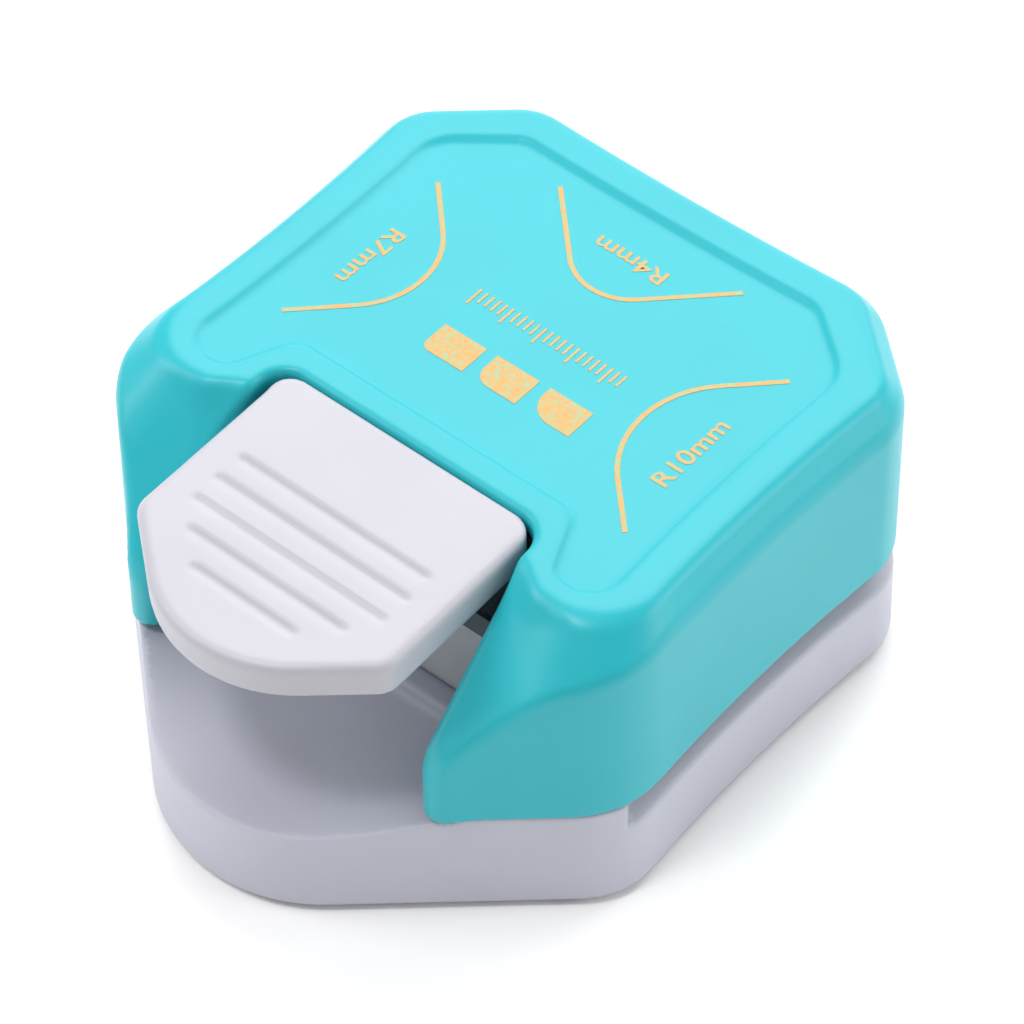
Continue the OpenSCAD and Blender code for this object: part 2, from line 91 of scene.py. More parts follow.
def stretches(corners):
    """Arcs and lines of a closed outline, from its corners (x, y, radius) in counterclockwise order."""
    n = len(corners)
    arcs, lines, ends = [], [], []
    for i in range(n):
        p, before, after = (np.array(corners[k % n][:2], float) for k in (i, i - 1, i + 1))
        radius = corners[i][2]
        u = (before - p) / np.linalg.norm(before - p)
        v = (after - p) / np.linalg.norm(after - p)
        half = math.acos(np.clip(u @ v, -1, 1)) / 2
        reach = radius / math.tan(half)
        ends.append((p + u * reach, p + v * reach))
        if radius > 0:
            turn = np.sign(u[1] * v[0] - u[0] * v[1])
            middle = (u + v) / np.linalg.norm(u + v)
            centre = p + middle * radius / math.sin(half)
            arcs.append((centre, radius, turn, -middle, math.cos(math.pi / 2 - half)))
    for i in range(n):
        start, stop = ends[i][1], ends[(i + 1) % n][0]
        length = np.linalg.norm(stop - start)
        if length > NEARLY:
            lines.append((start, (stop - start) / length, length))
    return arcs, lines


def outline_distance(parts, x, y):
    """Signed distance to an outline made by stretches(), negative inside it."""
    arcs, lines = parts
    near = np.full(x.shape, np.inf)
    signed = np.full(x.shape, np.inf)
    for centre, radius, turn, towards, reach in arcs:
        dx, dy = x - centre[0], y - centre[1]
        away = np.hypot(dx, dy)
        s = turn * (away - radius)
        seen = (dx * towards[0] + dy * towards[1] >= (reach - NEARLY) * away) & (np.abs(s) < near)
        near = np.where(seen, np.abs(s), near)
        signed = np.where(seen, s, signed)
    for start, along, length in lines:
        dx, dy = x - start[0], y - start[1]
        t = dx * along[0] + dy * along[1]
        s = dx * along[1] - dy * along[0]
        seen = (t > -NEARLY) & (t < length + NEARLY) & (np.abs(s) < near)
        near = np.where(seen, np.abs(s), near)
        signed = np.where(seen, s, signed)
    return signed


def both(a, b, r=0.0):
    """Intersection of two solids, with an edge of radius r."""
    u, v = np.maximum(a + r, 0), np.maximum(b + r, 0)
    return np.minimum(-r, np.maximum(a, b)) + np.hypot(u, v)


def either(a, b, r=0.0):
    """Union of two solids, with a hollow of radius r where they meet."""
    return -both(-a, -b, r)


def cut(a, b, r=0.0):
    """The first solid without the second."""
    return both(a, -b, r)


def block(x, y, z, low, high):
    """Signed distance to a box."""
    parts = [np.abs(p - (a + b) / 2) - (b - a) / 2 for p, a, b in zip((x, y, z), low, high)]
    out = np.sqrt(sum(np.maximum(p, 0) ** 2 for p in parts))
    return out + np.minimum(np.maximum.reduce(parts), 0)


def upright(x, y, z, place, radius, z0, z1):
    """Signed distance to a round bar along Z."""
    ends = np.abs(z - (z0 + z1) / 2) - (z1 - z0) / 2
    return both(np.hypot(x - place[0], y - place[1]) - radius, ends)


def blend_step(value, low, high):
    """0 below low, 1 above high, and a smooth curve in between."""
    t = np.clip((value - low) / (high - low), 0, 1)
    return t * t * (3 - 2 * t)


# ------------------------------------------------------------------ meshes from distances

# A gradient comes from four probes at this distance. A direction in which a cell's surface is flatter than
# FLATTEST, as a share of its main direction, doesn't move the cell's vertex.
PROBE = 0.02
PROBE_WAYS = ((1, -1, -1), (-1, -1, 1), (-1, 1, -1), (1, 1, 1))
LONGEST_MOVE = 0.5
SECANT_STEPS = 3
SLAB = 24
FLATTEST = 0.08


def slope_of(field, p):
    """Unit gradient of a field at points p."""
    total = np.zeros_like(p)
    for way in np.array(PROBE_WAYS, float):
        q = p + PROBE * way
        total += way * field(q[:, 0], q[:, 1], q[:, 2])[:, None]
    return total / np.maximum(np.linalg.norm(total, axis=1, keepdims=True), 1e-12)


def settle(field, p, rounds=2):
    """Points p moved along the gradient onto the surface."""
    for _ in range(rounds):
        value = field(p[:, 0], p[:, 1], p[:, 2])
        p = p - np.clip(value, -LONGEST_MOVE, LONGEST_MOVE)[:, None] * slope_of(field, p)
    return p


def crossings(field, axes, volume):
    """For each axis, the grid edges that cross the surface, the points, and which edges start inside."""
    inside = volume < 0
    found = []
    for k in range(3):
        near = [slice(None)] * 3
        far = [slice(None)] * 3
        near[k], far[k] = slice(None, -1), slice(1, None)
        index = np.argwhere(inside[tuple(near)] != inside[tuple(far)])
        other = index.copy()
        other[:, k] += 1
        v0, v1 = volume[tuple(index.T)], volume[tuple(other.T)]
        p0 = np.stack([axes[j][index[:, j]] for j in range(3)], 1)
        p1 = np.stack([axes[j][other[:, j]] for j in range(3)], 1)
        for _ in range(SECANT_STEPS):
            t = np.clip(v0 / (v0 - v1), 0.001, 0.999)[:, None]
            middle = p0 + t * (p1 - p0)
            value = field(middle[:, 0], middle[:, 1], middle[:, 2])
            same = (value < 0) == (v0 < 0)
            p0, v0 = np.where(same[:, None], middle, p0), np.where(same, value, v0)
            p1, v1 = np.where(same[:, None], p1, middle), np.where(same, v1, value)
        found.append((index, middle, inside[tuple(index.T)]))
    return found


def cells_round(index, axis, shape):
    """The four grid cells round each of the edges along an axis, as four lists of cell numbers."""
    u, v = (axis + 1) % 3, (axis + 2) % 3
    ring = []
    for du, dv in ((-1, -1), (0, -1), (0, 0), (-1, 0)):
        cell = index.copy()
        cell[:, u] += du
        cell[:, v] += dv
        ring.append(np.ravel_multi_index(tuple(cell.T), shape))
    return ring


def best_points(points, normal, owner):
    """One point for each cell, nearest to the tangent planes at the cell's crossings by least squares."""
    count = np.bincount(owner)
    mean = np.stack([np.bincount(owner, points[:, j]) for j in range(3)], 1) / count[:, None]
    offset = np.einsum("ij,ij->i", normal, points - mean[owner])
    square = np.empty((len(count), 3, 3))
    side = np.empty((len(count), 3))
    for i in range(3):
        side[:, i] = np.bincount(owner, normal[:, i] * offset)
        for j in range(3):
            square[:, i, j] = np.bincount(owner, normal[:, i] * normal[:, j])
    size, way = np.linalg.eigh(square)
    inverse = np.where(size > FLATTEST * size[:, 2:], 1 / np.maximum(size, 1e-9), 0)
    move = np.einsum("nij,nj->ni", way, inverse * np.einsum("nji,nj->ni", way, side))
    return mean + move


def surface(field, axes):
    """Vertices and quads of a field's zero surface, with one vertex in each grid cell that it crosses."""
    x, y, z = np.meshgrid(*axes, indexing="ij")
    parts = [slice(i, i + SLAB) for i in range(0, len(x), SLAB)]
    volume = np.concatenate([field(x[part], y[part], z[part]) for part in parts])
    shape = tuple(np.array(volume.shape) - 1)
    cells, points, quads = [], [], []
    for axis, (index, point, from_inside) in enumerate(crossings(field, axes, volume)):
        ring = cells_round(index, axis, shape)
        cells += ring
        points += [point] * len(ring)
        ring = np.stack(ring, 1)
        quads.append(np.where(from_inside[:, None], ring, ring[:, ::-1]))
    cells, points, quads = np.concatenate(cells), np.concatenate(points), np.concatenate(quads)
    used, owner = np.unique(cells, return_inverse=True)
    place = np.stack(np.unravel_index(used, shape), 1)
    low = np.stack([axes[j][place[:, j]] for j in range(3)], 1)
    high = np.stack([axes[j][place[:, j] + 1] for j in range(3)], 1)
    vertices = best_points(points, slope_of(field, points), owner)
    return settle(field, np.clip(vertices, low, high)), np.searchsorted(used, quads)


def make_mesh(name, vertices, faces):
    """A smooth-shaded object from vertices in millimetres and quads."""
    mesh = bpy.data.meshes.new(name)
    mesh.vertices.add(len(vertices))
    mesh.vertices.foreach_set("co", (np.asarray(vertices) * MM).astype(np.float32).ravel())
    mesh.loops.add(faces.size)
    mesh.loops.foreach_set("vertex_index", faces.astype(np.int32).ravel())
    mesh.polygons.add(len(faces))
    mesh.polygons.foreach_set("loop_start", np.arange(0, faces.size, faces.shape[1], dtype=np.int32))
    mesh.polygons.foreach_set("use_smooth", np.ones(len(faces), bool))
    mesh.update(calc_edges=True)
    mesh.validate()
    piece = bpy.data.objects.new(name, mesh)
    bpy.context.scene.collection.objects.link(piece)
    return piece


def spaced(low, high, step, margin=1.0):
    """Grid lines from low to high with a margin on both sides."""
    return np.linspace(low - margin, high + margin, int(round((high - low + 2 * margin) / step)) + 1)


def stand_in(piece, body, node, slot_name):
    """The piece takes the place of a CAD node, with the finish of its material slot."""
    piece.data.materials.append(FINISH[slot_name])
    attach(piece, body)
    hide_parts(node)


# ------------------------------------------------------------------ plan of the body

CHAMFER = math.radians(41.6)
NOSE_R = 21.6
FRONT_R = 13.0
REAR_R = 10.5
REAR_CHAMFER_L = 12.3
SIDE_DIP, SIDE_DIP_Y, SIDE_DIP_L = 1.1, -17.0, 47.0
BACK_DIP, BACK_DIP_HW = 0.5, 22.0
NOTCH_HW = 20.3
NOTCH_Y = -9.0
NOTCH_R = 3.5
LEG_TIP_R = 2.8
apex_y = -BACK_Y + NOSE_R - NOSE_R / math.cos(CHAMFER)
front_corner_y = apex_y + HALF_W * math.tan(CHAMFER)
rear_corner_x = HALF_W - REAR_CHAMFER_L / math.tan(CHAMFER)
rear_corner_y = BACK_Y - REAR_CHAMFER_L


def mirrored(right):
    """A closed outline from the corners of its right half, which run from the front to the back."""
    left = [(-x, y, r) for x, y, r in reversed(right) if x > 0.001]
    return stretches(right + left)


leg_tip_y = apex_y + NOTCH_HW * math.tan(CHAMFER)

# Outlines of the base, the housing, the edge of the housing's flat top, and the sunk panel.
BODY = mirrored([(0, apex_y, NOSE_R), (HALF_W, front_corner_y, FRONT_R), (HALF_W, rear_corner_y, REAR_R),
    (rear_corner_x, BACK_Y, REAR_R)])
HOUSE = mirrored([(0, NOTCH_Y, 0), (NOTCH_HW, NOTCH_Y, NOTCH_R), (NOTCH_HW, leg_tip_y, LEG_TIP_R),
    (HALF_W, front_corner_y, FRONT_R + 3), (HALF_W, rear_corner_y, REAR_R + 2),
    (rear_corner_x, BACK_Y, REAR_R)])
RIM = mirrored([(0, -14.2, 0), (20.2, -14.2, 5.0), (25.0, -17.2, 5.0), (36.3, -17.2, 8.3), (36.2, 32.8, 6.3),
    (24.8, 42.9, 6.3)])
PANEL = mirrored([(0, -4.9, 0), (21.4, -4.9, 3.2), (25.0, -13.7, 2.4), (31.7, -13.7, 4.2), (31.3, 30.8, 7.0),
    (22.3, 38.0, 4.5)])


def waisted(x, y):
    """Where a point falls on the straight outlines. The real sides and back are drawn in a little."""
    t = np.clip((y - SIDE_DIP_Y) / SIDE_DIP_L, 0, 1)
    side = 4 * SIDE_DIP * t * (1 - t) / HALF_W
    back = BACK_DIP / BACK_Y * np.clip(1 - (x / BACK_DIP_HW) ** 2, 0, 1) * (y > 0)
    return x * (1 + side), y * (1 + back)


def body_distance(x, y):
    """Signed distance in plan to the outline of the base."""
    return outline_distance(BODY, *waisted(x, y))


# ------------------------------------------------------------------ upper housing

WALL = 2.2
SEAM_INSET, SEAM_R = 0.7, 0.4
DRAFT = 0.02
PANEL_STEP = 0.75
RIM_R, LEG_RIM_GAIN = 0.9, 0.2
BAND_FALL, BAND_FRONT_FALL = 1.33, 0.88
BAND_R = 0.8
SLOPE_Z, SLOPE_X, SLOPE_Y = 53.6, 0.3, 1.05
SLOPE_LENGTH = math.hypot(1, SLOPE_X, SLOPE_Y)
FACET_R, FACET_R_DROP = 2.2, 1.2
LOBE_FALL, LOBE_R = 2.3, 0.8
CEILING_Z, CEILING_R = PANEL_Z - 2.3, 2.5
SHOULDER_WALL, SHOULDER_Z0, SHOULDER_Z1 = 1.2, 36, 41
LEG_WALL, LEG_Y = 3.2, -12
NOTCH_WALL, NOTCH_WALL_Y = 2, -5
HOUSING_SCREWS = [(28, -10), (22.5, 32)]
BOSS_R = 3.3
BOSS_LOW_Z = (SEAM_Z, FRAME_Z + 4)
HOUSE_STEP = 0.58


def slope_height(x, y):
    """Height of a leg's sloping front facet, which is slightly crowned."""
    return SLOPE_Z + SLOPE_X * np.abs(x) + SLOPE_Y * y


def housing_outside(x, y, z, plan, from_notch):
    """The outside of the housing: drafted walls, chamfered shoulder, sunk panel and two sloping legs.

    plan is the distance to the housing's outline, and from_notch to the notch in front, for the lever.
    """
    sunk = blend_step(-outline_distance(PANEL, *waisted(x, y)), -PANEL_STEP, PANEL_STEP)
    top = z - TOP_Z + (TOP_Z - PANEL_Z) * sunk
    outer = blend_step(from_notch, 1, 5)
    rim = outline_distance(RIM, *waisted(x, y))
    fall = BAND_FALL + (BAND_FRONT_FALL - BAND_FALL) * blend_step(-y, 4, 20)
    band = (rim * fall + z - TOP_Z) / np.hypot(1, fall)
    facet = (z - slope_height(x, y)) / SLOPE_LENGTH
    lobe = (rim * LOBE_FALL + z - TOP_Z) / math.hypot(1, LOBE_FALL)
    facet = either(facet, lobe, LOBE_R)
    solid = both(both(plan, band, BAND_R), facet, FACET_R - FACET_R_DROP * outer)
    solid = both(solid, top, RIM_R + LEG_RIM_GAIN * blend_step(-y, 9, 14))
    return both(solid, SEAM_Z - z, SEAM_R)


def housing_hollow(x, y, z, plan, d):
    """The space inside the housing, which follows its walls (d away), its top and its legs."""
    side = np.abs(x)
    walls = d + WALL + SHOULDER_WALL * blend_step(z, SHOULDER_Z0, SHOULDER_Z1)
    hollow = both(walls, z - CEILING_Z, CEILING_R)
    hollow = np.maximum(hollow, (z - slope_height(x, y) + LEG_WALL) / SLOPE_LENGTH)
    notch_wall = np.maximum(side - NOTCH_HW - WALL, NOTCH_HW - NOTCH_WALL - side)
    hollow = cut(hollow, np.maximum(notch_wall, y - NOTCH_WALL_Y))
    return np.where(y < LEG_Y, np.maximum(hollow, plan + WALL), hollow)


def housing(x, y, z):
    """The upper housing, with its screw bosses."""
    side = np.abs(x)
    from_notch = both(side - NOTCH_HW, y - NOTCH_Y, NOTCH_R)
    inset = (SEAM_INSET + DRAFT * (z - SEAM_Z)) * blend_step(from_notch, 1, 8)
    plan = outline_distance(HOUSE, *waisted(x, y)) + inset
    d = body_distance(x, y) + inset
    solid = cut(housing_outside(x, y, z, plan, from_notch), housing_hollow(x, y, z, plan, d), 0.4)
    for place, low in zip(HOUSING_SCREWS, BOSS_LOW_Z):
        solid = np.minimum(solid, upright(side, y, z, place, BOSS_R, low, CEILING_Z + 0.5))
    return solid


def build_housing():
    """The grid is finer at the seam and above the shoulder, where the shape has edges."""
    seam = np.arange(SEAM_Z - 1, SEAM_Z + 1.2, 0.3)
    walls = np.linspace(SEAM_Z + 1.7, SHOULDER_Z0, 20)
    top = np.arange(SHOULDER_Z0 + 0.5, TOP_Z + 1, 0.5)
    axes = (spaced(-HALF_W, HALF_W, HOUSE_STEP), spaced(house_low[1], house_high[1], HOUSE_STEP),
        np.concatenate([seam, walls, top]))
    piece = make_mesh("upper_shell", *surface(housing, axes))
    stand_in(piece, "body", "upper_housing", "housing_plastic")


# ------------------------------------------------------------------ press lever

LEVER_SLOPE = math.radians(2.5)
LEVER_HW = 19.0
LEVER_BACK_Y = -9.2
LEVER_BACK_Z = 43.8
LEVER_NOSE_R = 17.7
LEVER_T = 5.0
LEVER_EDGE, BACK_EDGE_DROP = 1.2, 0.7
GROOVE_Y, GROOVE_PITCH, GROOVE_W, GROOVE_DEPTH = -12.7, 3.76, 1.7, 0.45
GROOVE_HALF = [14.2, 14.4, 14.3, 11.7, 7.8]
nose_y = lever_low[1] - LEVER_BACK_Y
lever_corner_y = nose_y + 10.5
lever_turn = math.radians(40)
PADDLE = mirrored([(0, nose_y + LEVER_NOSE_R * (1 - 1 / math.cos(lever_turn)), LEVER_NOSE_R),
    (LEVER_HW, lever_corner_y, 3.0), (LEVER_HW, 0, 3.2)])
AXLE_Y, AXLE_Z = 32.0, 34.0
ARM_HW, ARM_Z0, ARM_Z1 = 12.4, 38.3, 40.6
RIB_T = 2.5
RIBS = [(-14, 36, ARM_Z1), (pin_low[1] - 1, 33.3, 37.3)]
BARREL_R, BARREL_HW = 4, 2.25
AXLE_FIT, PIN_FIT = 0.05, 0.02
LEVER_STEP = 0.45


def groove_drop(u, v):
    """Depth of the grip grooves under the paddle's top, with u across and v towards the back."""
    drop = np.zeros_like(u)
    for i, half in enumerate(GROOVE_HALF):
        t = (GROOVE_Y - i * GROOVE_PITCH) - v
        profile = GROOVE_DEPTH * blend_step(t, -0.3, 0.4) * (1 - blend_step(t, 0.2, GROOVE_W))
        drop = np.maximum(drop, profile * (1 - blend_step(np.abs(u), half - 0.7, half + 0.5)))
    return drop


def lever(x, y, z):
    """The press lever: grooved paddle, arm, ribs down to the pressure pin, and the barrels on the axle."""
    c, s = math.cos(LEVER_SLOPE), math.sin(LEVER_SLOPE)
    v = (y - LEVER_BACK_Y) * c + (z - LEVER_BACK_Z) * s
    w = (z - LEVER_BACK_Z) * c - (y - LEVER_BACK_Y) * s
    side = np.abs(x)
    d = outline_distance(PADDLE, x, v)
    edge = LEVER_EDGE - BACK_EDGE_DROP * blend_step(v, -4, -1)
    solid = both(d, w + groove_drop(x, v), edge)
    solid = both(solid, -w - LEVER_T, 0.6)
    arm = block(x, y, z, (-ARM_HW, LEVER_BACK_Y - 6, ARM_Z0), (ARM_HW, AXLE_Y + 2, ARM_Z1))
    solid = either(solid, arm, 0.4)
    for front_y, z0, z1 in RIBS:
        solid = np.minimum(solid, block(side, y, z, (ARM_HW - RIB_T, front_y, z0), (ARM_HW, AXLE_Y, z1)))
    from_axle = np.hypot(y - AXLE_Y, z - AXLE_Z)
    barrel = both(from_axle - BARREL_R, np.abs(side - ARM_HW + BARREL_HW) - BARREL_HW)
    solid = np.minimum(solid, barrel)
    axle = from_axle - (axle_high[2] - axle_low[2]) / 2 - AXLE_FIT
    pin_y, pin_z = (pin_low + pin_high)[1:] / 2
    pin = np.hypot(y - pin_y, z - pin_z) - (pin_high[2] - pin_low[2]) / 2 - PIN_FIT
    return np.maximum(solid, -np.minimum(axle, pin))


def build_lever():
    axes = (spaced(-LEVER_HW, LEVER_HW, LEVER_STEP), spaced(lever_low[1], lever_high[1], LEVER_STEP),
        spaced(lever_low[2], lever_high[2], LEVER_STEP))
    piece = make_mesh("lever_paddle", *surface(lever, axes))
    stand_in(piece, "lever", "press_lever", "lever_plastic")


# ------------------------------------------------------------------ base tray

BASE_INSET = 0.5
BASE_DRAFT = 0.03
LEDGE_DROP, LEDGE_SLOPE, LEDGE_W = 0.6, 0.45, 2.7
BOWL_Y = -32.5
BOWL_R = 62.0
BOWL_Z = FLOOR_Z + 0.4
BOWL_SIDE_X, BOWL_SIDE_RISE = 25.0, 4.2
BOWL_BACK_Y, BOWL_FLARE = -19.5, 8
STATION_X, STATION_Y, STATION_BACK_Y = 11.85, 11.6, 20.5
SLOT_STEP = 1.5
SLOT_LINE = STATION_X + STATION_Y - SLOT_STEP
WORKS_WIDE_HW, WORKS_WIDE_Y = 30, -4.6
WORKS_HW, WORKS_Y = 20.1, -16.3
WORKS_BACK_Y = 38
RAISED_BACK_Y, RAISED_R = 8, 0.35
PILLAR_INSET = 4.5
DECK_T = 3.5
FEET = [(31, -19), (31, 33)]
FOOT_R, FOOT_WALL, FOOT_DEPTH, FOOT_FIT = 4.0, 1.2, 1.2, 0.1
HINGE_Y = 40.5
LUGS_X, LUG_W = [8.7, 20.3], 3
STRIP_Y = HINGE_Y + 2.6
SCREW_HOLE_R, HEAD_HOLE_R, HEAD_HOLE_Z = 1.5, 2.8, 6
SCREW_BOSS_R, SCREW_BOSS_Z = 3.8, 3.2
CHIP_OPENING = ((-19, 2.5), (19, 25.5))
DIE_FIT = 0.1
UNDER_Z, OVER_Z, DIE_OPEN = -5, 40, 10
BASE_STEP, BASE_STEP_Z = 0.62, 0.42


def works(x, y, grow):
    """Signed distance in plan to the area of the working parts."""
    side = np.abs(x)
    wide = np.maximum(side - WORKS_WIDE_HW, np.maximum(WORKS_WIDE_Y - y, y - WORKS_BACK_Y))
    narrow = np.maximum(side - WORKS_HW, np.maximum(WORKS_Y - y, y - WORKS_BACK_Y))
    return np.minimum(wide, narrow) - grow


def bowl_height(x, y):
    """Height of the scoop for the fingers, which curves up at the back and, at the front, to both sides."""
    behind = np.maximum(y - BOWL_Y, 0) ** 2 / (2 * BOWL_R)
    beside = BOWL_SIDE_RISE * (np.abs(x) / BOWL_SIDE_X) ** 4
    return BOWL_Z + behind + beside * blend_step(-y, 24, 34)


def ledge_height(x, y, d):
    """Height of the deck. Its edge slopes outwards in the slots, and it is level further in."""
    rise = LEDGE_SLOPE * np.clip(-d, 0, LEDGE_W) - LEDGE_DROP
    level = blend_step(-d, LEDGE_W, LEDGE_W + 1.2) + blend_step(-works(x, y, 2), -1, 0)
    level = np.where(np.abs(x) + y < SLOT_LINE - 1, 1, np.minimum(level, 1))
    return FLOOR_Z + np.where(rise > 0, rise * (1 - level), rise)


def chamber(x, y, z, plan):
    """The hollow under the deck, open at the bottom, round the foot posts, screw bosses and hinge lugs."""
    side = np.abs(x)
    hollow = both(plan + WALL, z - FLOOR_Z + DECK_T, 0.5)
    for place in FEET:
        hollow = cut(hollow, upright(side, y, z, place, FOOT_R + FOOT_WALL, BASE_Z, FLOOR_Z), 0.3)
    for place in HOUSING_SCREWS:
        hollow = cut(hollow, upright(side, y, z, place, SCREW_BOSS_R, SCREW_BOSS_Z, FLOOR_Z), 0.3)
    for lug_x in LUGS_X:
        lug = block(side, y, z, (lug_x, HINGE_Y - 1.9, BASE_Z), (lug_x + LUG_W, HINGE_Y + 6, FLOOR_Z))
        hollow = np.maximum(hollow, -lug)
    strip = np.maximum(STRIP_Y - y, z - cover_high[2])
    return np.maximum(hollow, -strip)


def base_holes(x, y, z):
    """Pockets and holes: die plate, chip opening, feet and housing screws."""
    side = np.abs(x)
    chips_low, chips_high = CHIP_OPENING
    holes = block(x, y, z, die_low - DIE_FIT, die_high + np.array([DIE_FIT, DIE_FIT, DIE_OPEN]))
    holes = np.minimum(holes, block(x, y, z, (*chips_low, UNDER_Z), (*chips_high, OVER_Z)))
    for place in FEET:
        pocket = upright(side, y, z, place, FOOT_R + FOOT_FIT, UNDER_Z, BASE_Z + FOOT_DEPTH)
        holes = np.minimum(holes, pocket)
    for place in HOUSING_SCREWS:
        holes = np.minimum(holes, upright(side, y, z, place, SCREW_HOLE_R, UNDER_Z, OVER_Z))
        holes = np.minimum(holes, upright(side, y, z, place, HEAD_HOLE_R, UNDER_Z, HEAD_HOLE_Z))
    return holes


def raised_front(x, y, z, d):
    """The front of the base up to the housing's seam, with the finger bowl scooped out of it."""
    side = np.abs(x)
    slot_face = (SLOT_LINE - side - y) / math.sqrt(2)
    front = np.maximum(np.maximum(d, -slot_face), y - RAISED_BACK_Y)
    front = np.maximum(front, -works(x, y, 0.03))
    flank = side - WORKS_HW - BOWL_FLARE * blend_step(-y, 27, 33)
    scoop = both(np.maximum(flank, y - BOWL_BACK_Y), bowl_height(x, y) - z, 0.5)
    return cut(both(front, z - SEAM_Z, RAISED_R), scoop, 0.5)


def pillars(x, y, z, d):
    """The two low blocks between the side slots and the back slot, as high as the stop plate."""
    side = np.abs(x)
    back = (y - STATION_BACK_Y - side) / math.sqrt(2)
    front = (STATION_Y - STATION_X + side - y) / math.sqrt(2)
    pillar = np.maximum(np.maximum(d + PILLAR_INSET, back), front)
    return both(np.maximum(pillar, -works(x, y, 0.15)), z - STOP_Z, 0.2)


def base(x, y, z):
    """The base tray."""
    plan = body_distance(x, y)
    d = plan + BASE_INSET + BASE_DRAFT * (z - BASE_Z)
    solid = both(d, (z - ledge_height(x, y, d)) / math.hypot(1, LEDGE_SLOPE), 0.3)
    for part in (raised_front(x, y, z, d), pillars(x, y, z, d)):
        solid = np.minimum(solid, np.maximum(part, FLOOR_Z - 1 - z))
    solid = both(solid, BASE_Z - z, 1.0)
    return np.maximum(solid, -np.minimum(chamber(x, y, z, plan), base_holes(x, y, z)))


def build_base():
    axes = (spaced(-HALF_W, HALF_W, BASE_STEP), spaced(base_low[1], base_high[1], BASE_STEP),
        spaced(BASE_Z, SEAM_Z, BASE_STEP_Z))
    piece = make_mesh("base_shell", *surface(base, axes))
    stand_in(piece, "body", "base_tray", "base_plastic")


# ------------------------------------------------------------------ return springs

SPRINGS = ["return_spring_left", "return_spring_right", "return_spring_front"]
SPRING_TURNS = 5
WIRE_R = 0.4
WIRE_SIDES = 8
WIRE_END = np.array([(0, 1, 2, 7), (7, 2, 3, 6), (6, 3, 4, 5)])
TURN_STEPS = 24


def coil(centre, low_z, radius, length):
    """Vertices and quads of a coil of round wire with closed end turns."""
    turns = SPRING_TURNS + 2
    count = turns * TURN_STEPS + 1
    turn = np.repeat(np.linspace(0, turns, count), WIRE_SIDES)
    around = np.tile(np.arange(WIRE_SIDES) * 2 * math.pi / WIRE_SIDES, count)
    span = length - 2 * WIRE_R
    rise = np.interp(turn, [0, 1, turns - 1, turns], [0, 2 * WIRE_R, span - 2 * WIRE_R, span])
    away = radius + WIRE_R * np.cos(around)
    x = centre[0] + away * np.cos(2 * math.pi * turn)
    y = centre[1] + away * np.sin(2 * math.pi * turn)
    z = low_z + WIRE_R + rise + WIRE_R * np.sin(around)
    ring = np.arange(WIRE_SIDES)
    after = (ring + 1) % WIRE_SIDES
    section = np.stack([ring, ring + WIRE_SIDES, after + WIRE_SIDES, after], 1)
    sides = [section + i * WIRE_SIDES for i in range(count - 1)]
    ends = [WIRE_END, WIRE_END[:, ::-1] + (count - 1) * WIRE_SIDES]
    return np.stack([x, y, z], 1), np.concatenate(sides + ends)


def build_spring(node):
    """A return spring, as a fixed coil as long as its CAD node. The real spring gets shorter as the carrier
    goes down.
    """
    low, high = box_mm(node)
    centre = (low + high) / 2
    length = high[2] - low[2]
    piece = make_mesh(node + "_coil", *coil(centre, low[2], (high[0] - low[0]) / 2 - WIRE_R, length))
    stand_in(piece, "body", node, "spring_steel")
    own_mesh(piece)


# ------------------------------------------------------------------ materials


def srgb(r, g, b):
    """Linear colour from 8-bit screen values."""
    out = []
    for v in (r / 255, g / 255, b / 255):
        out.append(v / 12.92 if v < 0.04045 else ((v + 0.055) / 1.055) ** 2.4)
    return (*out, 1.0)


SHINE = 0.4
RAMP_FROM, RAMP_TO = 0.36, 0.55


def material(name, colour, roughness, metallic=0.0, grain=0.0, grain_size=1.0, mottle=0.03, fleck=None,
        fleck_size=16.0):
    """A procedural finish. Its colour varies a little or has flecks, and grain roughens it. Sizes in mm."""
    m = bpy.data.materials.new(name)
    m.use_nodes = True
    nodes, links = m.node_tree.nodes, m.node_tree.links
    shader = nodes["Principled BSDF"]
    shader.inputs["Roughness"].default_value = roughness
    shader.inputs["Metallic"].default_value = metallic
    shader.inputs["Specular IOR Level"].default_value = SHINE
    place = nodes.new("ShaderNodeTexCoord")
    cloud = nodes.new("ShaderNodeTexNoise")
    cloud.inputs["Scale"].default_value = 1000 / fleck_size
    cloud.inputs["Detail"].default_value = 3
    links.new(place.outputs["Object"], cloud.inputs["Vector"])
    ramp = nodes.new("ShaderNodeValToRGB")
    ramp.color_ramp.elements[0].position = RAMP_FROM
    ramp.color_ramp.elements[1].position = RAMP_TO
    ramp.color_ramp.elements[0].color = fleck or (*[c * (1 - mottle) for c in colour[:3]], 1)
    ramp.color_ramp.elements[1].color = colour
    links.new(cloud.outputs["Fac"], ramp.inputs["Fac"])
    links.new(ramp.outputs["Color"], shader.inputs["Base Color"])
    if grain:
        fine = nodes.new("ShaderNodeTexNoise")
        fine.inputs["Scale"].default_value = 1000 / grain_size
        fine.inputs["Detail"].default_value = 2
        bump = nodes.new("ShaderNodeBump")
        bump.inputs["Strength"].default_value = grain
        bump.inputs["Distance"].default_value = 0.00005 * grain_size
        links.new(place.outputs["Object"], fine.inputs["Vector"])
        links.new(fine.outputs["Fac"], bump.inputs["Height"])
        links.new(bump.outputs["Normal"], shader.inputs["Normal"])
    return m


